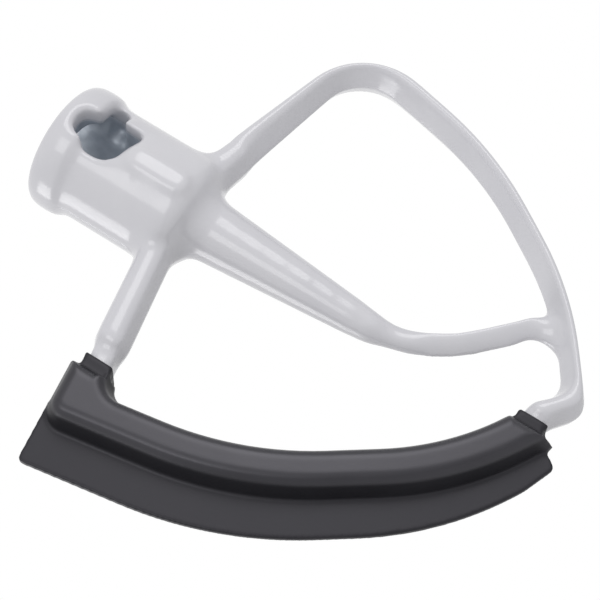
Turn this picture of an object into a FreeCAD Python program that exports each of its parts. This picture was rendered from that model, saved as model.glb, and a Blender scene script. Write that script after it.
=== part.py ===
import FreeCAD, Part
import math
import os
import Sketcher

# Flat beater for a stand mixer, in millimetres. Z runs up the hub's axis, the origin is the middle of
# the drive bore's mouth, the casting's parting plane is XZ and the window faces -Y.
doc = FreeCAD.newDocument("flat_beater")

NEARLY_ALL = "0.96"
SIZES = {
    # Hub: collar, tube and the drive bore with its bayonet window.
    "collar_radius": 17.7,
    "collar_height": 10.0,
    "collar_top_round": 3.6,
    "collar_low_round": 1.5,
    "hub_radius": 16.0,
    "hub_height": 48.5,
    "hub_end_slope": 25.0,
    "hub_low_round": 5.0,
    "hub_neck_round": 3.0,
    "bore_radius": 6.6,
    "bore_depth": 28.0,
    "entry_turn": 52.0,
    "entry_width": 5.6,
    "entry_radius": 12.0,
    "entry_drop": 4.3,
    "notch_rise": 5.0,
    "notch_left": 2.8,
    "notch_right": 5.0,
    "notch_round": 3.3,
    "window_left": 4.8,
    "window_right": 7.5,
    "window_drop": 10.0,
    "window_slope": 15.0,
    "window_big_round": 5.2,
    "window_small_round": 0.7,
    # Raised pad below the window.
    "badge_height": 1.4,
    "badge_half_width": 3.7,
    "badge_top": 21.3,
    "badge_bottom": 40.1,
    "badge_edge_round": 1.2,
    # Spine and leg.
    "spine_top": 46.0,
    "spine_top_radius": 8.5,
    "spine_taper": 4.7,
    "spine_end": 101.0,
    "spine_end_round": 3.4,
    "leg_tilt": 42.3,
    "leg_reach": 81.3,
    "leg_width": 6.2,
    "leg_bar_root": 8.1,
    "web_half_depth": 2.2,
    "web_draft": 18.0,
    "web_inset": 0.34,
    "web_sink": 0.7,
    "web_top_root": 2.1,
    "web_side_root": 4.8,
    "leg_join_share": 0.8,
    "bend_round": 36.0,
    "bend_outer_round": 42.0,
    "bend_inner_round": 30.0,
    # Arms and loop. The knee reaches further out than the side, and the foot further than the knee.
    "arm_half_depth": 7.5,
    "arm_draft": 14.0,
    "arm_edge_round": 1.1,
    "arm_root_inset": 0.4,
    "arm_root_rise": 3.2,
    "right_top_tilt": 15.8,
    "right_top_drop": 30.5,
    "left_top_tilt": 10.65,
    "left_top_drop": 31.8,
    "arm_under_tilt": 11.4,
    "arm_under_drop": 41.3,
    "left_arm_end": 23.8,
    "arm_end_round": 3.3,
    "shoulder_outer_round": 21.0,
    "shoulder_inner_round": 11.5,
    "loop_width": 6.8,
    "foot_width": 5.8,
    "side_lean": 12.0,
    "side_reach": 78.8,
    "knee_lean": 33.0,
    "knee_reach": 24.6,
    "foot_lean": 54.0,
    "foot_reach": 26.6,
    "knee_round": 97.0,
    "knee_low_round": 89.0,
    "toe_turn": 51.3,
    "toe_reach": 114.0,
    "toe_width": 7.3,
    "toe_round": 5.0,
    "toe_inner_round": 5.5,
    "tip_turn": 20.0,
    "tip_reach": 30.5,
    "tip_round": 2.6,
    "right_blend": 4.5,
    "left_blend": 2.0,
    "right_crotch": 3.5,
    "left_crotch": 5.0,
    "leg_crotch": 2.0,
    "leg_under_crotch": 7.0,
    # Rim of the casting that carries the rubber; each line reaches further out than the one before,
    # and the left arm's end and the rubber's are measured in from the rim's side.
    "rim_half_width": 3.2,
    "rim_half_depth": 5.5,
    "rim_arm_tilt": 11.0,
    "rim_arm_reach": 35.9,
    "rim_side_lean": 10.0,
    "rim_side_reach": 68.0,
    "rim_knee_lean": 36.0,
    "rim_knee_reach": 28.1,
    "rim_foot_lean": 62.0,
    "rim_foot_reach": 31.9,
    "rim_tip_lean": 80.0,
    "rim_tip_reach": 13.1,
    "rim_knee_round": 95.0,
    "rim_low_round": 60.0,
    "rim_heel_round": 12.0,
    "rim_corner_round": 6.0,
    "rim_root": 7.0,
    "rim_tip_root": 4.5,
    # Rubber edge.
    "sleeve_wrap": 3.3,
    "sleeve_low_round": 78.0,
    "sleeve_arm_wrap": 2.4,
    "sleeve_top_tilt": 8.7,
    "sleeve_top_reach": 30.5,
    "sleeve_half_depth": 8.5,
    "sleeve_draft": 16.0,
    "sleeve_edge_round": 2.0,
    "sleeve_left_end": 18.6,
    "sleeve_tip_end": 1.5,
    "sleeve_inner_corner": 4.0,
    "lip_wrap": 1.1,
    "lip_groove_wrap": 0.7,
    "lip_half_depth": 6.4,
    "lip_left_start": 21.1,
    "lip_thickness": 1.1,
    "lip_tip_start": 0.2,
    "blade_thickness": 1.9,
    "blade_side_width": 10.5,
    "blade_knee_width": 9.3,
    "blade_foot_width": 6.0,
    "blade_heel_lean": 70.0,
    "blade_heel_width": 12.5,
    "blade_heel_round": 20.0,
    "blade_end_turn": 36.3,
    "blade_end_reach": 85.4,
    "blade_corner_round": 1.5,
}

sheet = doc.addObject("Spreadsheet::Sheet", "Sizes")
for row, name in enumerate(SIZES, start=1):
    sheet.set("A%d" % row, name)
    sheet.set("B%d" % row, str(SIZES[name]))
    sheet.setAlias("B%d" % row, name)
doc.recompute()


def cell(name):
    return "Sizes." + name


def origin_part(body, role):
    for feature in body.Origin.OriginFeatures:
        if feature.Role == role:
            return feature
    raise ValueError("no origin feature " + role)


# A straight edge is named by the direction it faces, in degrees, and its reach from the origin.
def edge(facing, reach):
    return ("(" + facing + ")", "(" + reach + ")")


def moved(line, amount):
    return (line[0], "(" + line[1] + "+" + amount + ")")


# The same edge, facing the other way.
def flipped(line):
    return ("(" + line[0] + "+180)", "(-" + line[1] + ")")


def crossing(first, second):
    spread = "sin(%s-%s)" % (second[0], first[0])
    along = "(%s*sin(%s)-%s*sin(%s))/%s" % (first[1], second[0], second[1], first[0], spread)
    up = "(%s*cos(%s)-%s*cos(%s))/%s" % (second[1], first[0], first[1], second[0], spread)
    return along, up


# Outline from straight edges in order; each corner is sharp or has its own rounding. An open run draws
# only the edges between the first and the last, which mark where it starts and stops.
def outline(body, plane, name, edges, rounds, closed=True, lift=None):
    sketch = body.newObject("Sketcher::SketchObject", name)
    sketch.AttachmentSupport = [(origin_part(body, plane), "")]
    sketch.MapMode = "FlatFace"
    if lift:
        sketch.setExpression("AttachmentOffset.Base.z", lift)
    count = len(edges)
    turns = count if closed else count - 1
    marks = []
    rings = []
    for index in range(turns):
        along, up = crossing(edges[index], edges[(index + 1) % count])
        mark = sketch.addGeometry(Part.Point(FreeCAD.Vector(index + 1, count - index, 0)), True)
        level = sketch.addConstraint(Sketcher.Constraint("DistanceX", -1, 1, mark, 1, 1.0))
        sketch.setExpression("Constraints[%d]" % level, along)
        rise = sketch.addConstraint(Sketcher.Constraint("DistanceY", -1, 1, mark, 1, 1.0))
        sketch.setExpression("Constraints[%d]" % rise, up)
        marks.append(mark)
        ring = None
        if rounds[index]:
            circle = Part.Circle(FreeCAD.Vector(index + 1, count - index, 0), FreeCAD.Vector(0, 0, 1), 1)
            ring = sketch.addGeometry(circle, True)
            sketch.addConstraint(Sketcher.Constraint("Coincident", ring, 3, mark, 1))
            radius = sketch.addConstraint(Sketcher.Constraint("Radius", ring, 1.0))
            sketch.setExpression("Constraints[%d]" % radius, rounds[index])
        rings.append(ring)
    doc.recompute()
    corners = [sketch.getPoint(mark, 1) for mark in marks]
    entries = []
    exits = []
    arcs = []
    for index in range(turns):
        corner = corners[index]
        if rings[index] is None:
            entries.append(corner)
            exits.append(corner)
            arcs.append(None)
            continue
        back = (corners[index - 1] - corner).normalize()
        ahead = (corners[(index + 1) % turns] - corner).normalize()
        radius = sketch.Geometry[rings[index]].Radius
        half = math.acos(max(-1.0, min(1.0, back.dot(ahead)))) / 2
        entry = corner + back * (radius / math.tan(half))
        leave = corner + ahead * (radius / math.tan(half))
        centre = corner + (back + ahead).normalize() * (radius / math.sin(half))
        swing = (entry - centre).cross(leave - centre).z
        first, last = (entry, leave) if swing > 0 else (leave, entry)
        start = math.atan2(first.y - centre.y, first.x - centre.x)
        stop = math.atan2(last.y - centre.y, last.x - centre.x)
        round_circle = Part.Circle(centre, FreeCAD.Vector(0, 0, 1), radius)
        arc = sketch.addGeometry(Part.ArcOfCircle(round_circle, start, stop), False)
        entries.append(entry)
        exits.append(leave)
        arcs.append((arc, 1, 2) if swing > 0 else (arc, 2, 1))
    lines = {}
    for index in range(0 if closed else 1, turns):
        segment = Part.LineSegment(exits[index - 1], entries[index])
        lines[index] = sketch.addGeometry(segment, False)
    for index in range(turns):
        line = lines.get(index)
        after = lines.get((index + 1) % count)
        mark = marks[index]
        if arcs[index] is None:
            if line is not None:
                sketch.addConstraint(Sketcher.Constraint("Coincident", line, 2, mark, 1))
            if after is not None:
                sketch.addConstraint(Sketcher.Constraint("Coincident", after, 1, mark, 1))
            continue
        arc, enter, leave = arcs[index]
        sketch.addConstraint(Sketcher.Constraint("Tangent", line, 2, arc, enter))
        sketch.addConstraint(Sketcher.Constraint("Tangent", arc, leave, after, 1))
        sketch.addConstraint(Sketcher.Constraint("Equal", rings[index], arc))
        sketch.addConstraint(Sketcher.Constraint("PointOnObject", mark, 1, line))
        sketch.addConstraint(Sketcher.Constraint("PointOnObject", mark, 1, after))
    doc.recompute()
    return sketch


def both_ways(body, sketch, name, half_depth):
    feature = body.newObject("PartDesign::Pad", name)
    feature.Profile = sketch
    feature.SideType = "Two sides"
    feature.setExpression("Length", half_depth)
    feature.setExpression("Length2", half_depth)
    doc.recompute()
    return feature


# Which corners of a drawn outline stand out and which fold in, in drawing order.
def corner_turns(sketch, count):
    points = [item for item in sketch.Geometry if item.TypeId == "Part::GeomPoint"][:count]
    places = [FreeCAD.Vector(item.X, item.Y, 0) for item in points]
    area = sum((places[index - 1].cross(places[index])).z for index in range(count))
    turns = []
    for index in range(count):
        before = places[index] - places[index - 1]
        after = places[(index + 1) % count] - places[index]
        turns.append(before.cross(after).z * area > 0)
    return turns


# Piece drawn at the parting plane and drawn in towards its front and back faces; edges face outwards.
# Each step is a distance from the parting plane and how far the outline is drawn in there.
def drafted(body, name, edges, rounds, steps):
    middle = outline(body, "XZ_Plane", name + "_outline", edges, rounds)
    turns = corner_turns(middle, len(edges))
    fronts = []
    backs = []
    for number, (depth, inset) in enumerate(steps, start=1):
        drawn_in = [moved(line, "-(" + inset + ")") for line in edges]
        drawn_rounds = []
        for radius, out in zip(rounds, turns):
            drawn_rounds.append(radius and "(" + radius + ")" + ("-(" if out else "+(") + inset + ")")
        label = name + "_step_%d" % number
        fronts.append(outline(body, "XZ_Plane", label + "_front", drawn_in, drawn_rounds, lift=depth))
        behind = "-(" + depth + ")"
        backs.append(outline(body, "XZ_Plane", label + "_back", drawn_in, drawn_rounds, lift=behind))
    sections = list(reversed(fronts)) + [middle] + backs
    feature = body.newObject("PartDesign::AdditiveLoft", name)
    feature.Profile = sections[0]
    feature.Sections = sections[1:]
    feature.Ruled = True
    doc.recompute()
    return feature


def draft_step(half_depth, draft):
    return (half_depth, half_depth + "*tan(" + draft + ")")


def turned(body, kind, sketch, name):
    feature = body.newObject("PartDesign::" + kind, name)
    feature.Profile = sketch
    feature.ReferenceAxis = (origin_part(body, "Z_Axis"), [""])
    feature.Angle = 360.0
    doc.recompute()
    return feature


# Front and back edges of a piece, the ones lying on the planes y = +depth and y = -depth.
def face_edges(shape, depth):
    names = []
    for index, item in enumerate(shape.Edges, start=1):
        box = item.BoundBox
        flat = box.YLength < 0.001
        if flat and abs(abs(box.YMin) - depth) < 0.001:
            names.append("Edge%d" % index)
    return names


def rounded(body, base, name, edges, radius):
    feature = body.newObject("PartDesign::Fillet", name)
    feature.Base = (base, edges)
    feature.setExpression("Radius", radius)
    doc.recompute()
    return feature


# A rounding that gives way where the wall beside it leaves too little room.
def limited(radius, wall):
    return "min(" + radius + ";" + NEARLY_ALL + "*(" + wall + "))"


# Lines shared by the casting and the rubber moulded over it.
rim_arm = edge("90+" + cell("rim_arm_tilt"), "-" + cell("rim_arm_reach"))
rim_side = edge("180+" + cell("rim_side_lean"), cell("rim_side_reach"))
rim_bow = edge("180+" + cell("rim_knee_lean"), rim_side[1] + "+" + cell("rim_knee_reach"))
rim_foot = edge("180+" + cell("rim_foot_lean"), rim_bow[1] + "+" + cell("rim_foot_reach"))
rim_tip = edge("180+" + cell("rim_tip_lean"), rim_foot[1] + "+" + cell("rim_tip_reach"))
rim_knee = cell("rim_knee_round")
rim_low = cell("rim_low_round")
rim_heel = cell("rim_heel_round")

# beater_frame: one coated casting.
frame = doc.addObject("PartDesign::Body", "beater_frame")

right_top = edge("90-" + cell("right_top_tilt"),
                 "-" + cell("right_top_drop") + "*cos(" + cell("right_top_tilt") + ")")
left_top = edge("90+" + cell("left_top_tilt"),
                "-" + cell("left_top_drop") + "*cos(" + cell("left_top_tilt") + ")")
right_under = edge("90-" + cell("arm_under_tilt"),
                   "-" + cell("arm_under_drop") + "*cos(" + cell("arm_under_tilt") + ")")
left_under = edge("90+" + cell("arm_under_tilt"),
                  "-" + cell("arm_under_drop") + "*cos(" + cell("arm_under_tilt") + ")")
side_out = edge("-" + cell("side_lean"), cell("side_reach"))
side_in = moved(side_out, "-" + cell("loop_width"))
knee_out = edge("-" + cell("knee_lean"), side_out[1] + "+" + cell("knee_reach"))
knee_in = moved(knee_out, "-0.5*(" + cell("loop_width") + "+" + cell("foot_width") + ")")
foot_out = edge("-" + cell("foot_lean"), knee_out[1] + "+" + cell("foot_reach"))
foot_in = moved(foot_out, "-" + cell("foot_width"))
toe_out = edge("180+" + cell("toe_turn"), cell("toe_reach"))
toe_in = moved(toe_out, "-" + cell("toe_width"))
tip_end = edge("180-" + cell("tip_turn"), cell("tip_reach") + "-" + cell("side_reach"))
hub_right = edge("0", cell("hub_radius") + "-" + cell("arm_root_inset"))
hub_left = edge("180", cell("hub_radius") + "-" + cell("arm_root_inset"))
hub_top = edge("90", "-" + cell("right_top_drop") + "+" + cell("arm_root_rise"))
left_end = edge("180", rim_side[1] + "-" + cell("left_arm_end"))

# Spine web and kicked leg, from inside both arms down into the loop.
spine_reach = (cell("spine_top_radius") + "*cos(" + cell("spine_taper") + ")+" + cell("spine_top")
               + "*sin(" + cell("spine_taper") + ")")
spine_right = edge("-" + cell("spine_taper"), spine_reach + "-" + cell("web_inset"))
spine_left = edge("180+" + cell("spine_taper"), spine_reach + "-" + cell("web_inset"))
leg_upper = edge("90-" + cell("leg_tilt"), "-" + cell("leg_reach") + "+0.5*" + cell("leg_width"))
leg_lower = edge("270-" + cell("leg_tilt"), cell("leg_reach") + "+0.5*" + cell("leg_width"))
web_top = edge("90", "-" + cell("arm_under_drop") + "+" + cell("web_top_root"))
web_right = edge("0", cell("hub_radius") + "+" + cell("web_side_root"))
web_left = edge("180", cell("hub_radius") + "+" + cell("web_side_root"))
under_right = moved(right_under, cell("web_sink"))
under_left = moved(left_under, cell("web_sink"))
knee_x, knee_z = crossing(moved(knee_out, "-" + cell("knee_round")),
                          moved(foot_out, "-" + cell("knee_round")))
join_lean = "(0.5*" + cell("knee_lean") + "+0.5*" + cell("foot_lean") + ")"
mid_lean = ("(" + cell("knee_lean") + "+" + cell("leg_join_share") + "*(" + cell("foot_lean") + "-"
            + cell("knee_lean") + "))")


def knee_line(lean, inset):
    centre = "(" + knee_x + ")*cos(" + lean + ")-(" + knee_z + ")*sin(" + lean + ")"
    return edge("-" + lean, centre + "+" + cell("knee_round") + "-(" + inset + ")")


join_upper = knee_line(join_lean, cell("foot_width") + "-" + cell("web_sink"))
join_mid = knee_line(mid_lean, "0.5*" + cell("foot_width"))
join_lower = moved(foot_in, cell("web_sink"))
leg_stop_upper = moved(leg_upper, cell("leg_width"))
leg_stop_lower = moved(leg_lower, cell("leg_width"))

leg = drafted(
    frame, "spine_web_and_leg",
    [web_top, web_right, flipped(under_right), spine_right, leg_upper, flipped(join_upper), leg_stop_upper,
     join_mid, leg_stop_lower, flipped(join_lower), leg_lower, spine_left, flipped(under_left), web_left],
    [None, None, cell("right_crotch"), cell("bend_inner_round"), cell("leg_crotch"), None, None, None, None,
     cell("leg_under_crotch"), cell("bend_outer_round"), cell("left_crotch"), None, None],
    [draft_step(cell("web_half_depth"), cell("web_draft"))])

# Round bar of the leg, swept from inside the spine round the bend into the loop.
bar_bend = cell("bend_round") + "*tan(45-0.5*" + cell("leg_tilt") + ")"
bar_top = "-" + cell("leg_reach") + "/cos(" + cell("leg_tilt") + ")+" + bar_bend + "+" + cell("leg_bar_root")
bar_start = edge("90", bar_top)
bar_axis = edge("0", "0")
bar_leg = edge("90-" + cell("leg_tilt"), "-" + cell("leg_reach"))
bar_path = outline(
    frame, "XZ_Plane", "leg_path",
    [bar_start, bar_axis, bar_leg, join_mid],
    [None, cell("bend_round"), None], closed=False)
bar_section = frame.newObject("Sketcher::SketchObject", "leg_section")
bar_section.AttachmentSupport = [(origin_part(frame, "XY_Plane"), "")]
bar_section.MapMode = "FlatFace"
bar_section.setExpression("AttachmentOffset.Base.z", bar_top)
bar_circle = bar_section.addGeometry(Part.Circle(FreeCAD.Vector(0, 0, 0), FreeCAD.Vector(0, 0, 1), 3), False)
bar_section.addConstraint(Sketcher.Constraint("Coincident", bar_circle, 3, -1, 1))
bar_radius = bar_section.addConstraint(Sketcher.Constraint("Radius", bar_circle, 3.0))
bar_section.setExpression("Constraints[%d]" % bar_radius, "0.5*" + cell("leg_width"))
doc.recompute()
bar = frame.newObject("PartDesign::AdditivePipe", "leg_bar")
bar.Profile = bar_section
bar.Spine = (bar_path, [])
doc.recompute()

# Arms, loop and toe.
knee_inner = cell("knee_round") + "-" + cell("loop_width")
knee_low_inner = cell("knee_low_round") + "-" + cell("foot_width")
arms = drafted(
    frame, "arms_and_loop",
    [hub_top, hub_right, right_top, side_out, knee_out, foot_out, toe_out, tip_end, flipped(toe_in),
     flipped(foot_in), flipped(knee_in), flipped(side_in), flipped(right_under), flipped(left_under),
     left_end, left_top, hub_left],
    [None, cell("right_blend"), cell("shoulder_outer_round"), cell("knee_round"), cell("knee_low_round"),
     cell("toe_round"), cell("tip_round"), cell("tip_round"), cell("toe_inner_round"),
     knee_low_inner, knee_inner, cell("shoulder_inner_round"), None,
     cell("arm_end_round"), cell("arm_end_round"), cell("left_blend"), None],
    [draft_step(cell("arm_half_depth"), cell("arm_draft"))])
arm_face = cell("foot_width") + "-2*" + cell("arm_half_depth") + "*tan(" + cell("arm_draft") + ")"
arms_soft = rounded(frame, arms, "arms_edges", face_edges(arms.Shape, SIZES["arm_half_depth"]),
                    limited(cell("arm_edge_round"), "0.5*(" + arm_face + ")"))

# Rim that runs on from the left arm to the tip, inside the rubber.
rim_out = cell("rim_half_width")
rim_in = "-" + cell("rim_half_width")
rim_start = moved(flipped(left_end), cell("rim_root"))
rim_stop = edge("0", cell("rim_tip_root"))
rim_sketch = outline(
    frame, "XZ_Plane", "rim_outline",
    [rim_start, moved(rim_arm, rim_out), moved(rim_side, rim_out), moved(rim_bow, rim_out),
     moved(rim_foot, rim_out), moved(rim_tip, rim_out), rim_stop, moved(rim_tip, rim_in),
     moved(rim_foot, rim_in), moved(rim_bow, rim_in), moved(rim_side, rim_in), moved(rim_arm, rim_in)],
    [None, cell("rim_corner_round"), rim_knee + "+" + rim_out, rim_low + "+" + rim_out,
     rim_heel + "+" + rim_out, None, None, rim_heel, rim_low + "-" + rim_out, rim_knee + "-" + rim_out,
     cell("rim_corner_round"), None])
rim = both_ways(frame, rim_sketch, "rim", cell("rim_half_depth"))

# Hub turned about the axis: collar, tube, rounded lower end and the tapering spine.
axis_line = edge("180", "0")
collar_top = edge("90", "0")
collar_side = edge("0", cell("collar_radius"))
collar_under = edge("-90", cell("collar_height"))
tube_side = edge("0", cell("hub_radius"))
tube_end = edge("-90+" + cell("hub_end_slope"),
                cell("hub_height") + "*cos(" + cell("hub_end_slope") + ")")
spine_side = edge("-" + cell("spine_taper"), spine_reach)
spine_bottom = edge("-90", cell("spine_end"))
spine_low_radius = (cell("spine_top_radius") + "-(" + cell("spine_end") + "-" + cell("spine_top") + ")*tan("
                    + cell("spine_taper") + ")")
hub_sketch = outline(
    frame, "XZ_Plane", "hub_outline",
    [axis_line, collar_top, collar_side, collar_under, tube_side, tube_end, spine_side, spine_bottom],
    [None, cell("collar_top_round"), cell("collar_low_round"), None, cell("hub_low_round"),
     cell("hub_neck_round"), limited(cell("spine_end_round"), spine_low_radius), None])
hub = turned(frame, "Revolution", hub_sketch, "hub")

# Raised pad on the hub's front, with round ends and a soft edge.
badge_sketch = outline(
    frame, "XZ_Plane", "badge_outline",
    [edge("0", cell("badge_half_width")), edge("90", "-" + cell("badge_top")),
     edge("180", cell("badge_half_width")), edge("-90", cell("badge_bottom"))],
    [NEARLY_ALL + "*" + cell("badge_half_width")] * 4)
badge = frame.newObject("PartDesign::Pad", "badge_pad")
badge.Profile = badge_sketch
badge.setExpression("Length", cell("hub_radius") + "+" + cell("badge_height"))
doc.recompute()
badge_soft = rounded(frame, badge, "badge_edge",
                     face_edges(badge.Shape, SIZES["hub_radius"] + SIZES["badge_height"]),
                     cell("badge_edge_round"))

# Drive bore, blind, down from the hub's top face.
bore_top = edge("90", "0")
bore_side = edge("0", cell("bore_radius"))
bore_end = edge("-90", cell("bore_depth"))
bore_sketch = outline(
    frame, "XZ_Plane", "bore_outline",
    [axis_line, bore_top, bore_side, bore_end],
    [None, None, None, None])
bore = turned(frame, "Groove", bore_sketch, "drive_bore")

# Entry slot for the drive pin, down from the mouth.
entry_sketch = outline(
    frame, "XY_Plane", "entry_outline",
    [edge(cell("entry_turn") + "-90", cell("entry_radius")),
     edge(cell("entry_turn"), "0.5*" + cell("entry_width")),
     edge(cell("entry_turn") + "+90", "0"),
     edge(cell("entry_turn") + "+180", "0.5*" + cell("entry_width"))],
    [None, None, None, None])
entry = frame.newObject("PartDesign::Pocket", "entry_slot")
entry.Profile = entry_sketch
entry.setExpression("Length", cell("collar_height") + "+" + cell("entry_drop"))
doc.recompute()

# Bayonet window through the front wall, with the locking notch in the collar.
floor = cell("collar_height") + "+" + cell("window_drop")
under_collar = edge("90", "-" + cell("collar_height"))
window_sketch = outline(
    frame, "XZ_Plane", "window_outline",
    [edge("180", cell("window_left")), under_collar, edge("180", cell("notch_left")),
     edge("90", "-" + cell("collar_height") + "+" + cell("notch_rise")),
     edge("0", cell("notch_right")), under_collar,
     edge("0", cell("entry_radius")), edge("-90", cell("collar_height") + "+" + cell("entry_drop")),
     edge("0", cell("window_right")),
     edge("-90-" + cell("window_slope"), "(" + floor + ")*cos(" + cell("window_slope") + ")")],
    [cell("window_small_round"), cell("window_small_round"), cell("notch_round"), cell("notch_round"),
     cell("window_small_round"), cell("window_small_round"), cell("window_small_round"),
     cell("window_small_round"), cell("window_small_round"), cell("window_big_round")])
window = frame.newObject("PartDesign::Pocket", "bayonet_window")
window.Profile = window_sketch
window.Reversed = True
window.setExpression("Length", "2*" + cell("collar_radius"))
doc.recompute()
frame.Tip = window
doc.recompute()

# Rubber edge before the casting is taken out of it.
moulding = doc.addObject("PartDesign::Body", "edge_moulding")
wrap = cell("rim_half_width") + "+" + cell("sleeve_wrap")
arm_wrap = cell("rim_half_width") + "+" + cell("sleeve_arm_wrap")
sleeve_start = edge("0", cell("sleeve_left_end") + "-" + rim_side[1])
sleeve_stop = edge("0", "-" + cell("sleeve_tip_end"))
sleeve_top = edge("90+" + cell("sleeve_top_tilt"), "-" + cell("sleeve_top_reach"))
back_wrap = "-(" + wrap + ")"
sleeve_low = cell("sleeve_low_round")
# The sleeve's front and back edges are rounded over in short steps.
sleeve_round = cell("sleeve_edge_round")
round_steps = 3
sleeve_steps = []
for number in range(round_steps + 1):
    turn = "%g" % (number * 90.0 / round_steps)
    depth = "(" + cell("sleeve_half_depth") + "-" + sleeve_round + "*(1-sin(" + turn + ")))"
    inset = depth + "*tan(" + cell("sleeve_draft") + ")+" + sleeve_round + "*(1-cos(" + turn + "))"
    sleeve_steps.append((depth, inset))
sleeve = drafted(
    moulding, "sleeve",
    [sleeve_start, sleeve_top, moved(rim_side, wrap), moved(rim_bow, wrap), moved(rim_foot, wrap),
     sleeve_stop, flipped(moved(rim_foot, back_wrap)), flipped(moved(rim_bow, back_wrap)),
     flipped(moved(rim_side, back_wrap)), flipped(moved(rim_arm, "-(" + arm_wrap + ")"))],
    [None, cell("rim_corner_round"), rim_knee + "+" + wrap, sleeve_low + "+" + wrap, None, None,
     sleeve_low + back_wrap, rim_knee + back_wrap, cell("sleeve_inner_corner"), None],
    sleeve_steps)
# Lips where the rubber ends on the rim, each behind a narrow groove.
lip_wrap = cell("rim_half_width") + "+" + cell("lip_wrap")
groove_wrap = cell("rim_half_width") + "+" + cell("lip_groove_wrap")
lip_left_face = edge("0", cell("lip_left_start") + "-" + rim_side[1])
lip_left = moved(flipped(lip_left_face), cell("lip_thickness"))
lip_right = edge("180", "-" + cell("lip_tip_start") + "+" + cell("lip_thickness"))
lip_right_face = edge("0", cell("lip_tip_start"))
deep_left = moved(flipped(sleeve_start), "2*" + cell("lip_thickness"))
deep_right = edge("180", cell("sleeve_tip_end") + "+2*" + cell("lip_thickness"))
left_lip_sketch = outline(
    moulding, "XZ_Plane", "left_lip_outline",
    [lip_left, moved(rim_arm, lip_wrap), lip_left_face, moved(rim_arm, "-(" + lip_wrap + ")")],
    [None, None, None, None])
both_ways(moulding, left_lip_sketch, "left_lip", cell("lip_half_depth"))
left_neck_sketch = outline(
    moulding, "XZ_Plane", "left_neck_outline",
    [deep_left, moved(rim_arm, groove_wrap), lip_left_face, moved(rim_arm, "-(" + groove_wrap + ")")],
    [None, None, None, None])
neck_depth = cell("rim_half_depth") + "+" + cell("lip_groove_wrap")
both_ways(moulding, left_neck_sketch, "left_neck", neck_depth)
tip_lip_sketch = outline(
    moulding, "XZ_Plane", "tip_lip_outline",
    [lip_right, moved(rim_tip, "-(" + lip_wrap + ")"), lip_right_face, moved(rim_tip, lip_wrap)],
    [None, None, None, None])
both_ways(moulding, tip_lip_sketch, "tip_lip", cell("lip_half_depth"))
tip_neck_sketch = outline(
    moulding, "XZ_Plane", "tip_neck_outline",
    [deep_right, moved(rim_tip, "-(" + groove_wrap + ")"), lip_right_face, moved(rim_tip, groove_wrap)],
    [None, None, None, None])
both_ways(moulding, tip_neck_sketch, "tip_neck", neck_depth)

# Thin wiping blade along the sleeve's outer side.
blade_side = moved(rim_side, wrap + "+" + cell("blade_side_width"))
blade_bow = moved(rim_bow, wrap + "+" + cell("blade_knee_width"))
blade_foot = moved(rim_foot, wrap + "+" + cell("blade_foot_width"))
blade_heel = edge("180+" + cell("blade_heel_lean"),
                  rim_foot[1] + "+" + wrap + "+" + cell("blade_heel_width"))
blade_end = edge("-" + cell("blade_end_turn"), cell("blade_end_reach"))
blade_round = rim_knee + "+" + wrap + "+" + cell("blade_foot_width")
blade_low = sleeve_low + "+" + wrap + "+" + cell("blade_foot_width")
blade_sketch = outline(
    moulding, "XZ_Plane", "blade_outline",
    [sleeve_top, blade_side, blade_bow, blade_foot, blade_heel, blade_end, rim_foot, rim_bow, rim_side],
    [cell("blade_corner_round"), blade_round, blade_low, cell("blade_heel_round"),
     cell("blade_corner_round"), None, sleeve_low, rim_knee, None])
both_ways(moulding, blade_sketch, "blade", "0.5*" + cell("blade_thickness"))

# flex_edge: the moulding with the casting's own shape taken out, so the two meet face to face.
rubber = doc.addObject("Part::Cut", "flex_edge")
rubber.Base = moulding
rubber.Tool = frame
doc.recompute()

for item in doc.Objects:
    bad = [word for word in item.State if word in ("Invalid", "Error")]
    if bad:
        raise RuntimeError(item.Name + " did not build")
    if item.isDerivedFrom("Part::Feature") and not item.isDerivedFrom("Sketcher::SketchObject"):
        if item.Shape.isNull() or not item.Shape.isValid():
            raise RuntimeError(item.Name + " has no sound shape")

os.makedirs("parts", exist_ok=True)
for node in (frame, rubber):
    if len(node.Shape.Solids) != 1:
        raise RuntimeError(node.Label + " is not one solid")
    node.Shape.exportStep("parts/" + node.Label + ".step")
    box = node.Shape.BoundBox
    print(node.Label, round(node.Shape.Volume), [round(v, 1) for v in
          (box.XMin, box.XMax, box.YMin, box.YMax, box.ZMin, box.ZMax)])
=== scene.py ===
import bmesh
import bpy
import math
import numpy as np
from mathutils import Matrix, Vector


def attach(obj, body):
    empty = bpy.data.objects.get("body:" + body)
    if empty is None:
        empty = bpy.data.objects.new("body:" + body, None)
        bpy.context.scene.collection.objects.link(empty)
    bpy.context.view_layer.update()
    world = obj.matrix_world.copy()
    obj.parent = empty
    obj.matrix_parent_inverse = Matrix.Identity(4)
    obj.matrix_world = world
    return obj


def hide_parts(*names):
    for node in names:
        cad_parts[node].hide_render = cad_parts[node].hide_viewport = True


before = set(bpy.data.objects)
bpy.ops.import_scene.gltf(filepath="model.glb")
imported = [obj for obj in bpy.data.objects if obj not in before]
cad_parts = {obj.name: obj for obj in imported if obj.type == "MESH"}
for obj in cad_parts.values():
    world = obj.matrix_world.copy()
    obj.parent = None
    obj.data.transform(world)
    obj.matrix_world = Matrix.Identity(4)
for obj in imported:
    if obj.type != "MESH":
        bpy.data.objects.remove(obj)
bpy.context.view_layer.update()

# Casting: the hub, spine, arms, loop and toe are one piece of die-cast metal. The mould leaves every
# corner between two limbs soft, and the whole casting wears a thick white gloss coat.
CASTING_GRAIN = 0.00059
CASTING_EASE = 30
EASE_PULL = 0.5
EASE_LOOK = 10


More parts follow.
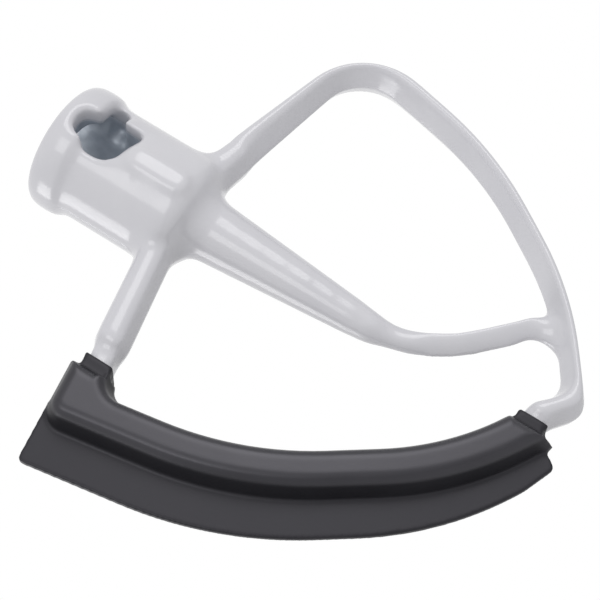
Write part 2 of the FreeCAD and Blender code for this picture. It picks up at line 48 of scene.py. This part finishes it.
def fresh_skin(node, name, grain):
    piece = bpy.data.objects.new(name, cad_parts[node].data.copy())
    bpy.context.scene.collection.objects.link(piece)
    mould = piece.modifiers.new("mould", "REMESH")
    mould.mode = "VOXEL"
    mould.voxel_size = grain
    mould.use_smooth_shade = True
    graph = bpy.context.evaluated_depsgraph_get()
    skin = bpy.data.meshes.new_from_object(piece.evaluated_get(graph))
    piece.modifiers.clear()
    piece.data = skin
    return piece


def points_of(mesh):
    places = np.empty(len(mesh.vertices) * 3)
    mesh.vertices.foreach_get("co", places)
    return places.reshape(-1, 3)


def set_points(mesh, places):
    mesh.vertices.foreach_set("co", places.ravel())
    mesh.update()


# Draws each point towards the middle of its neighbours. With hollows set, points move outwards only, so
# inside corners fill up and outside edges stay where they are.
def ease(mesh, passes, share, hollows=False):
    places = points_of(mesh)
    ends = np.empty(len(mesh.edges) * 2, dtype=np.int64)
    mesh.edges.foreach_get("vertices", ends)
    first, second = ends.reshape(-1, 2).T
    total = len(places)
    count = np.bincount(ends, minlength=total)
    facing = np.empty(total * 3)
    for step in range(passes):
        middle = np.empty_like(places)
        for axis in range(3):
            sums = np.bincount(first, places[second, axis], total)
            sums += np.bincount(second, places[first, axis], total)
            middle[:, axis] = sums / count
        pull = (middle - places) * (EASE_PULL * share)[:, None]
        if hollows:
            if step % EASE_LOOK == 0:
                set_points(mesh, places)
                mesh.vertex_normals.foreach_get("vector", facing)
                outward = facing.reshape(-1, 3)
            rise = np.maximum(0.0, np.einsum("ij,ij->i", pull, outward))
            pull = outward * rise[:, None]
        places = places + pull
    set_points(mesh, places)


# One at no distance or less, and none from the reach onwards.
def fade(distance, reach):
    near = np.clip(1.0 - distance / reach, 0.0, 1.0)
    return near * near * (3.0 - 2.0 * near)


def around(places, centre, reach):
    return fade(np.linalg.norm(places - np.array(centre), axis=1), reach)


casting = fresh_skin("beater_frame", "casting", CASTING_GRAIN)
ease(casting.data, CASTING_EASE, np.ones(len(casting.data.vertices)))

# Arm roots: the metal runs out of the hub into both arms, and flares at their front and back.
ROOT_LEVEL = -0.046
ROOT_HEIGHT = 0.016
ROOT_REACH = 0.025
ROOT_FILL = 160
FLARE_LEVEL = -0.040
FLARE_HEIGHT = 0.014
FLARE_REACH = 0.034
FLARE_FALL = 0.25
FLARE_NEAR = 0.0045
FLARE_FAR = 0.0085
FLARE_FILL = 900
places = points_of(casting.data)
root_share = np.sqrt(fade(np.abs(places[:, 2] - ROOT_LEVEL), ROOT_HEIGHT))
root_share *= np.abs(places[:, 0]) < ROOT_REACH
ease(casting.data, ROOT_FILL, root_share, hollows=True)
flare_share = np.sqrt(fade(np.abs(places[:, 2] - FLARE_LEVEL), FLARE_HEIGHT))
flare_share *= fade(np.abs(places[:, 0]), FLARE_REACH) ** FLARE_FALL
flare_share *= np.clip((np.abs(places[:, 1]) - FLARE_NEAR) / (FLARE_FAR - FLARE_NEAR), 0.0, 1.0)
ease(casting.data, FLARE_FILL, flare_share, hollows=True)

# The right arm, loop and toe are drawn in further on the side that faces the opening, so their front and
# back faces are narrow strips along the outer edge. The outer edge is found all round the opening first.
TAPER = 0.0019
ARM_HALF_DEPTH = 0.0075
ARM_WIDTH = 0.0065
ARM_ROOT = 0.015
ARM_RUN_IN = 0.014
HUB_CLEAR = 0.0215
TOE_TOP = -0.132
TOE_END = 0.003
RIGHT_OPENING = (0.030, -0.085)
OPENING_STEPS = 480
EVENED_STEPS = 3
INNER_LIMIT = 0.010
INNER_FADE = 0.006
places = points_of(casting.data)
sideways = places[:, 0]
in_toe = places[:, 2] < TOE_TOP
run_in = np.where(in_toe, fade(TOE_END + ARM_RUN_IN - sideways, ARM_RUN_IN),
                  fade(ARM_ROOT + ARM_RUN_IN - sideways, ARM_RUN_IN))
limb = (sideways > HUB_CLEAR) | in_toe & (sideways > 0)
out = places[:, (0, 2)] - np.array(RIGHT_OPENING)
reach = np.linalg.norm(out, axis=1)
turn = np.arctan2(out[:, 1], out[:, 0]) / (2 * math.pi) % 1.0 * OPENING_STEPS
steps = np.arange(OPENING_STEPS) + 0.5
outermost = np.zeros(OPENING_STEPS)
np.maximum.at(outermost, turn[limb].astype(int) % OPENING_STEPS, reach[limb])
found = outermost > 0
outermost = np.interp(steps, steps[found], outermost[found], period=OPENING_STEPS)
wrapped = np.concatenate((outermost[-EVENED_STEPS:], outermost, outermost[:EVENED_STEPS]))
window = 2 * EVENED_STEPS + 1
outermost = np.convolve(wrapped, np.full(window, 1 / window), "valid")
gap = np.maximum(0.0, np.interp(turn, steps, outermost, period=OPENING_STEPS) - reach)
drawn_in = TAPER * np.clip(np.abs(places[:, 1]) / ARM_HALF_DEPTH, 0.0, 1.0) * run_in * (sideways > 0)
drawn_in *= np.clip(gap / ARM_WIDTH, 0.0, 1.0) * fade(gap - INNER_LIMIT, INNER_FADE)
places[:, (0, 2)] += out / reach[:, None] * drawn_in[:, None]

# The leg's front and back ridges lie close to its upper edge, and its under side slopes away from them.
LEG_LINE = np.array(((0.0015, -0.1042), (0.0044, -0.1111), (0.0081, -0.1167), (0.0139, -0.1226),
                     (0.0200, -0.1281), (0.0270, -0.1335)))
LEG_TAPER = 0.0022
LEG_HALF_DEPTH = 0.0031
LEG_MOST_DEPTH = 1.2
LEG_HALF_HEIGHT = 0.0033
LEG_CLEAR = 1.3 * LEG_HALF_HEIGHT
LEG_START = 0.001
LEG_END = 0.025
LEG_FADE = 0.008
leg_axis = LEG_LINE[-1] - LEG_LINE[1]
leg_axis = leg_axis / np.linalg.norm(leg_axis)
leg_up = np.array((-leg_axis[1], leg_axis[0]))
flat = places[:, (0, 2)] - LEG_LINE[1]
line = LEG_LINE - LEG_LINE[1]
along = flat @ leg_axis
over = flat @ leg_up - np.interp(along, line @ leg_axis, line @ leg_up)
lifted = LEG_TAPER * np.clip(np.abs(places[:, 1]) / LEG_HALF_DEPTH, 0.0, LEG_MOST_DEPTH)
lifted *= np.clip(1.0 - over / LEG_HALF_HEIGHT, 0.0, 1.0)
lifted *= fade(np.abs(over) - LEG_CLEAR, LEG_HALF_HEIGHT)
lifted *= fade(LEG_START - along, LEG_FADE) * fade(along - LEG_END, LEG_FADE)
places[:, (0, 2)] += leg_up * lifted[:, None]
set_points(casting.data, places)

# The leg's joint with the loop is filled, and its crotch and the bend of the spine are rounded.
LEG_JOINT = (0.0270, 0.0, -0.1325)
JOINT_REACH = 0.011
JOINT_FILL = 120
LEG_CROTCH = (0.0212, 0.0, -0.1350)
CROTCH_REACH = 0.0085
CROTCH_EASE = 45
LEG_BEND = (-0.001, 0.0, -0.1005)
BEND_REACH = 0.013
BEND_EASE = 60
ease(casting.data, JOINT_FILL, around(places, LEG_JOINT, JOINT_REACH), hollows=True)
ease(casting.data, CROTCH_EASE, around(places, LEG_CROTCH, CROTCH_REACH))
ease(casting.data, BEND_EASE, around(places, LEG_BEND, BEND_REACH))

# Fine seam where the two halves of the mould met, down the hub's left side.
SEAM_TOP = -0.0098
SEAM_BOTTOM = -0.0345
SEAM_SIDE = -0.0148
SEAM_ZONE = 0.0014
SEAM_HALF_WIDTH = 0.0003
SEAM_DEPTH = 0.00022
SEAM_CUTS = 3
SEAM_RUN_OUT = 0.002
cast_skin = bmesh.new()
cast_skin.from_mesh(casting.data)


def beside_seam(point):
    return point.co.x < SEAM_SIDE and abs(point.co.y) < SEAM_ZONE and SEAM_BOTTOM < point.co.z < SEAM_TOP


beside = [line for line in cast_skin.edges if all(beside_seam(point) for point in line.verts)]
bmesh.ops.subdivide_edges(cast_skin, edges=beside, cuts=SEAM_CUTS, use_grid_fill=True)
cast_skin.normal_update()
for point in cast_skin.verts:
    if beside_seam(point):
        to_end = min(SEAM_TOP - point.co.z, point.co.z - SEAM_BOTTOM)
        run_out = min(1.0, to_end / SEAM_RUN_OUT)
        depth = SEAM_DEPTH * run_out * math.exp(-(point.co.y / SEAM_HALF_WIDTH) ** 2)
        point.co -= point.normal * depth
for side in cast_skin.faces:
    side.smooth = True
cast_skin.to_mesh(casting.data)
cast_skin.free()
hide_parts("beater_frame")
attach(casting, "root")

# Coat: white gloss powder, faintly uneven, over the whole casting but the machined bore, which is bare grey
# metal. Cloud values are a noise's scale and detail, and tones are its darkest and lightest colour.
NOISE_LOW = 0.3
NOISE_HIGH = 0.7
COLOUR_FIRST = 6
COLOUR_SECOND = 7
COLOUR_RESULT = 2
PAINT_CLOUD = (60.0, 3.0)
PAINT_TONES = ((0.575, 0.572, 0.605), (0.605, 0.602, 0.632))
PAINT_GLOSS = (0.13, 0.19)
GLOSS_CLOUD = (700.0, 2.0)
PEEL_CLOUD = (700.0, 1.0)
PEEL_HEIGHT = 0.000003
PAINT_IOR = 1.5
METAL_CLOUD = (400.0, 3.0)
METAL_TONES = ((0.36, 0.40, 0.455), (0.44, 0.48, 0.535))
METAL_SHARE = 0.25
METAL_ROUGHER = 0.25
BARE_RADIUS = 0.0112
COATED_RADIUS = 0.0132
MOUTH_EDGE = 0.0010
BORE_END = -0.0290


def add_node(tree, kind, **values):
    node = tree.nodes.new(kind)
    for name, value in values.items():
        setattr(node, name, value)
    return node


def noise(tree, where, scale, detail):
    node = add_node(tree, "ShaderNodeTexNoise")
    node.inputs["Scale"].default_value = scale
    node.inputs["Detail"].default_value = detail
    tree.links.new(where, node.inputs["Vector"])
    return node.outputs["Fac"]


def spread(tree, value, low, high):
    node = add_node(tree, "ShaderNodeMapRange")
    node.inputs["From Min"].default_value = NOISE_LOW
    node.inputs["From Max"].default_value = NOISE_HIGH
    node.inputs["To Min"].default_value = low
    node.inputs["To Max"].default_value = high
    tree.links.new(value, node.inputs["Value"])
    return node.outputs["Result"]


def two_tone(tree, value, dark, light):
    node = add_node(tree, "ShaderNodeValToRGB")
    node.color_ramp.elements[0].position = NOISE_LOW
    node.color_ramp.elements[0].color = (*dark, 1.0)
    node.color_ramp.elements[1].position = NOISE_HIGH
    node.color_ramp.elements[1].color = (*light, 1.0)
    tree.links.new(value, node.inputs["Fac"])
    return node.outputs["Color"]


def raised(tree, value, height):
    node = add_node(tree, "ShaderNodeBump")
    node.inputs["Strength"].default_value = 1.0
    node.inputs["Distance"].default_value = height
    tree.links.new(value, node.inputs["Height"])
    return node.outputs["Normal"]


def finish_of(name):
    material = bpy.data.materials.new(name)
    material.use_nodes = True
    tree = material.node_tree
    shader = tree.nodes["Principled BSDF"]
    place = add_node(tree, "ShaderNodeTexCoord").outputs["Object"]
    return material, tree, shader, place


def ramp(tree, value, start, stop):
    node = add_node(tree, "ShaderNodeMapRange", interpolation_type="SMOOTHSTEP")
    node.inputs["From Min"].default_value = start
    node.inputs["From Max"].default_value = stop
    tree.links.new(value, node.inputs["Value"])
    return node.outputs["Result"]


def times(tree, first, second):
    node = add_node(tree, "ShaderNodeMath", operation="MULTIPLY")
    tree.links.new(first, node.inputs[0])
    tree.links.new(second, node.inputs[1])
    return node.outputs["Value"]


def blend(tree, share, first, second):
    node = add_node(tree, "ShaderNodeMix", data_type="RGBA")
    tree.links.new(share, node.inputs["Factor"])
    tree.links.new(first, node.inputs[COLOUR_FIRST])
    tree.links.new(second, node.inputs[COLOUR_SECOND])
    return node.outputs[COLOUR_RESULT]


coat, tree, shader, place = finish_of("white_gloss_coat")
across = add_node(tree, "ShaderNodeVectorMath", operation="MULTIPLY")
across.inputs[1].default_value = (1.0, 1.0, 0.0)
tree.links.new(place, across.inputs[0])
from_axis = add_node(tree, "ShaderNodeVectorMath", operation="LENGTH")
tree.links.new(across.outputs["Vector"], from_axis.inputs[0])
apart = add_node(tree, "ShaderNodeSeparateXYZ")
tree.links.new(place, apart.inputs["Vector"])
level = apart.outputs["Z"]
below_mouth = ramp(tree, level, -MOUTH_EDGE / 2, -MOUTH_EDGE)
above_end = ramp(tree, level, BORE_END - MOUTH_EDGE, BORE_END)
near_axis = ramp(tree, from_axis.outputs["Value"], COATED_RADIUS, BARE_RADIUS)
bare = times(tree, times(tree, below_mouth, above_end), near_axis)
painted = two_tone(tree, noise(tree, place, *PAINT_CLOUD), *PAINT_TONES)
metal = two_tone(tree, noise(tree, place, *METAL_CLOUD), *METAL_TONES)
tree.links.new(blend(tree, bare, painted, metal), shader.inputs["Base Color"])
metallic = add_node(tree, "ShaderNodeMath", operation="MULTIPLY")
metallic.inputs[1].default_value = METAL_SHARE
tree.links.new(bare, metallic.inputs[0])
tree.links.new(metallic.outputs["Value"], shader.inputs["Metallic"])
rougher = add_node(tree, "ShaderNodeMath", operation="MULTIPLY_ADD")
rougher.inputs[1].default_value = METAL_ROUGHER
tree.links.new(bare, rougher.inputs[0])
tree.links.new(spread(tree, noise(tree, place, *GLOSS_CLOUD), *PAINT_GLOSS), rougher.inputs[2])
tree.links.new(rougher.outputs["Value"], shader.inputs["Roughness"])
tree.links.new(raised(tree, noise(tree, place, *PEEL_CLOUD), PEEL_HEIGHT), shader.inputs["Normal"])
shader.inputs["IOR"].default_value = PAINT_IOR
casting.data.materials.clear()
casting.data.materials.append(coat)

# Rubber edge: a sleeve of dark flexible rubber moulded over the rim of the casting, with a lip at each
# end and a thin blade along its outer side that wipes the bowl.
EDGE_GRAIN = 0.00043
EDGE_EASE = 2
SLEEVE_CORNERS = ((-0.0015, -0.002, -0.1492), (-0.0015, 0.002, -0.1492))
CORNER_EASE = 40
CORNER_REACH = 0.0055
LEFT_LIP = -0.0474
LEFT_LIP_LOWEST = -0.056
RIGHT_LIP = -0.0003
LIP_EASE = 16
LIP_REACH = 0.0022
rubber_edge = fresh_skin("flex_edge", "rubber_edge", EDGE_GRAIN)
places = points_of(rubber_edge.data)
ease(rubber_edge.data, EDGE_EASE, np.ones(len(places)))
for corner in SLEEVE_CORNERS:
    ease(rubber_edge.data, CORNER_EASE, around(places, corner, CORNER_REACH))
lip_share = fade(np.abs(places[:, 0] - LEFT_LIP), LIP_REACH) * (places[:, 2] > LEFT_LIP_LOWEST)
lip_share += fade(np.abs(places[:, 0] - RIGHT_LIP), LIP_REACH)
ease(rubber_edge.data, LIP_EASE, lip_share)
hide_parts("flex_edge")
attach(rubber_edge, "root")

# Rubber finish: near black with a cool sheen. The sleeve's front and back are satin. The slopes between them
# and the blade are duller and painted darker, a painted shade that reaches down to the blade. The blade lies
# between the two.
TONE_CLOUD = (55.0, 5.0)
SHEEN_CLOUD = (55.0, 4.0)
SKIN_CLOUD = (900.0, 2.0)
SKIN_HEIGHT = 0.00001
FACE_TONES = ((0.016, 0.0157, 0.0190), (0.022, 0.0216, 0.0255))
# The slopes' colour is a darker copy of the front and back colour: painted shade.
SLOPE_PAINTED_SHADE = ((0.010, 0.0098, 0.0120), (0.014, 0.0137, 0.0165))
BLADE_TONES = ((0.011, 0.0108, 0.0132), (0.016, 0.0157, 0.0188))
SHEEN_TINT = (0.94, 0.92, 1.0, 1.0)
UNEVEN_SHEEN = 0.03
SLOPE_START = 0.0011
SLOPE_NEAR = 0.0014
SLOPE_FAR = 0.0055
SLOPE_END = 0.0074
rubber, tree, shader, place = finish_of("dark_satin_rubber")
cloud = noise(tree, place, *TONE_CLOUD)
apart = add_node(tree, "ShaderNodeSeparateXYZ")
tree.links.new(place, apart.inputs["Vector"])
middle = add_node(tree, "ShaderNodeMath", operation="ABSOLUTE")
tree.links.new(apart.outputs["Y"], middle.inputs[0])
off_middle = middle.outputs["Value"]
off_blade = ramp(tree, off_middle, SLOPE_START, SLOPE_NEAR)
on_slope = times(tree, off_blade, ramp(tree, off_middle, SLOPE_END, SLOPE_FAR))
# Painted shade: the slopes take the darker copy of the rubber colour, down to where they meet the blade.
sleeve_tone = blend(tree, on_slope, two_tone(tree, cloud, *FACE_TONES), two_tone(tree, cloud, *SLOPE_PAINTED_SHADE))
edge_tone = blend(tree, off_blade, two_tone(tree, cloud, *BLADE_TONES), sleeve_tone)
tree.links.new(edge_tone, shader.inputs["Base Color"])


def plus(tree, first, second):
    node = add_node(tree, "ShaderNodeMath", operation="ADD")
    tree.links.new(first, node.inputs[0])
    tree.links.new(second, node.inputs[1])
    return node.outputs["Value"]


def between(tree, share, low, high):
    node = add_node(tree, "ShaderNodeMapRange")
    node.inputs["To Min"].default_value = low
    node.inputs["To Max"].default_value = high
    tree.links.new(share, node.inputs["Value"])
    return node.outputs["Result"]


def edge_value(tree, blade, face, slope):
    return plus(tree, between(tree, off_blade, blade, face), between(tree, on_slope, 0.0, slope - face))


uneven = spread(tree, noise(tree, place, *SHEEN_CLOUD), -UNEVEN_SHEEN, UNEVEN_SHEEN)
rough = plus(tree, edge_value(tree, blade=0.38, face=0.34, slope=0.50), uneven)
tree.links.new(rough, shader.inputs["Roughness"])
sheen = edge_value(tree, blade=0.34, face=0.55, slope=0.25)
tree.links.new(sheen, shader.inputs["Specular IOR Level"])
shader.inputs["Specular Tint"].default_value = SHEEN_TINT
tree.links.new(raised(tree, noise(tree, place, *SKIN_CLOUD), SKIN_HEIGHT), shader.inputs["Normal"])
rubber_edge.data.materials.clear()
rubber_edge.data.materials.append(rubber)

# Floor: a wide pale board well below the held beater, smooth and matt. It is a little lighter where it is
# looked at than where it throws light back.
FLOOR_LEVEL = -0.75
FLOOR_HALF = 4.0
FLOOR_CLOUD = (3.0, 2.0)
FLOOR_SHADES = ((0.79, 0.79, 0.79), (0.81, 0.81, 0.81))
FLOOR_TONES = ((0.86, 0.86, 0.86), (0.88, 0.88, 0.88))
FLOOR_ROUGHNESS = 0.8
floor_mesh = bpy.data.meshes.new("floor")
corners = [(x * FLOOR_HALF, y * FLOOR_HALF, FLOOR_LEVEL) for x, y in ((-1, -1), (1, -1), (1, 1), (-1, 1))]
floor_mesh.from_pydata(corners, [], [(0, 1, 2, 3)])
floor = bpy.data.objects.new("floor", floor_mesh)
bpy.context.scene.collection.objects.link(floor)


# Rays that look at the background itself: straight from the camera, off a gloss or through something.
def looked_at(tree):
    rays = add_node(tree, "ShaderNodeLightPath")
    seen = rays.outputs["Is Camera Ray"]
    for kind in ("Is Glossy Ray", "Is Transmission Ray"):
        joined = add_node(tree, "ShaderNodeMath", operation="MAXIMUM")
        tree.links.new(seen, joined.inputs[0])
        tree.links.new(rays.outputs[kind], joined.inputs[1])
        seen = joined.outputs["Value"]
    return seen


pale, tree, shader, place = finish_of("pale_floor")
cloud = noise(tree, place, *FLOOR_CLOUD)
shade = two_tone(tree, cloud, *FLOOR_SHADES)
tone = two_tone(tree, cloud, *FLOOR_TONES)
tree.links.new(blend(tree, looked_at(tree), shade, tone), shader.inputs["Base Color"])
shader.inputs["Roughness"].default_value = FLOOR_ROUGHNESS
floor_mesh.materials.append(pale)

# Studio: a white room that lights the beater evenly, and three tall softboxes that draw long bands along
# the round limbs.
ROOM_LIGHT = 0.72
ROOM_WHITE = (1.0, 1.0, 1.0, 1.0)
LIGHT_AIM = Vector((0.0, 0.0, -0.07))
LIGHT_DISTANCE = 0.95
room = bpy.data.worlds.new("white_room")
room.use_nodes = True
bpy.context.scene.world = room
tree = room.node_tree
tree.nodes.clear()
fill = add_node(tree, "ShaderNodeBackground")
fill.inputs["Color"].default_value = ROOM_WHITE
fill.inputs["Strength"].default_value = ROOM_LIGHT
white = add_node(tree, "ShaderNodeBackground")
white.inputs["Color"].default_value = ROOM_WHITE
both = add_node(tree, "ShaderNodeMixShader")
tree.links.new(looked_at(tree), both.inputs["Fac"])
tree.links.new(fill.outputs["Background"], both.inputs[1])
tree.links.new(white.outputs["Background"], both.inputs[2])
outlet = add_node(tree, "ShaderNodeOutputWorld")
tree.links.new(both.outputs["Shader"], outlet.inputs["Surface"])


def softbox(name, turn, rise, width, height, brightness):
    lamp = bpy.data.lights.new(name, "AREA")
    lamp.shape = "RECTANGLE"
    lamp.size = width
    lamp.size_y = height
    lamp.energy = brightness * math.pi * width * height
    box = bpy.data.objects.new(name, lamp)
    bpy.context.scene.collection.objects.link(box)
    turn = math.radians(turn)
    rise = math.radians(rise)
    towards = Vector((math.cos(turn) * math.cos(rise), math.sin(turn) * math.cos(rise), math.sin(rise)))
    box.location = LIGHT_AIM + towards * LIGHT_DISTANCE
    box.rotation_mode = "QUATERNION"
    box.rotation_quaternion = (-towards).to_track_quat("-Z", "Y")
    box.visible_camera = False


softbox("front_softbox", turn=-118.0, rise=11.0, width=0.40, height=0.45, brightness=2.6)
softbox("right_softbox", turn=-63.0, rise=14.0, width=0.52, height=0.44, brightness=3.2)
softbox("left_softbox", turn=149.0, rise=12.0, width=0.46, height=0.45, brightness=3.4)

# Camera: a long lens below and to the left of the held beater, turned on its own axis so that the hub
# points to the upper left as in the photograph.
EYE = Vector((-0.20801, -0.49750, -0.18423))
RIGHT = Vector((0.54388198, -0.04248292, -0.83808567))
UP = Vector((0.75179789, -0.41903541, 0.50912597))
SENSOR = 36.0
LENS = 129.33
NEAREST = 0.01
lens = bpy.data.cameras.new("camera")
lens.sensor_width = SENSOR
lens.lens = LENS
lens.clip_start = NEAREST
camera = bpy.data.objects.new("camera", lens)
bpy.context.scene.collection.objects.link(camera)
camera.matrix_world = Matrix.Translation(EYE) @ Matrix((RIGHT, UP, RIGHT.cross(UP))).transposed().to_4x4()
bpy.context.scene.camera = camera
bpy.context.scene.view_settings.view_transform = "Standard"
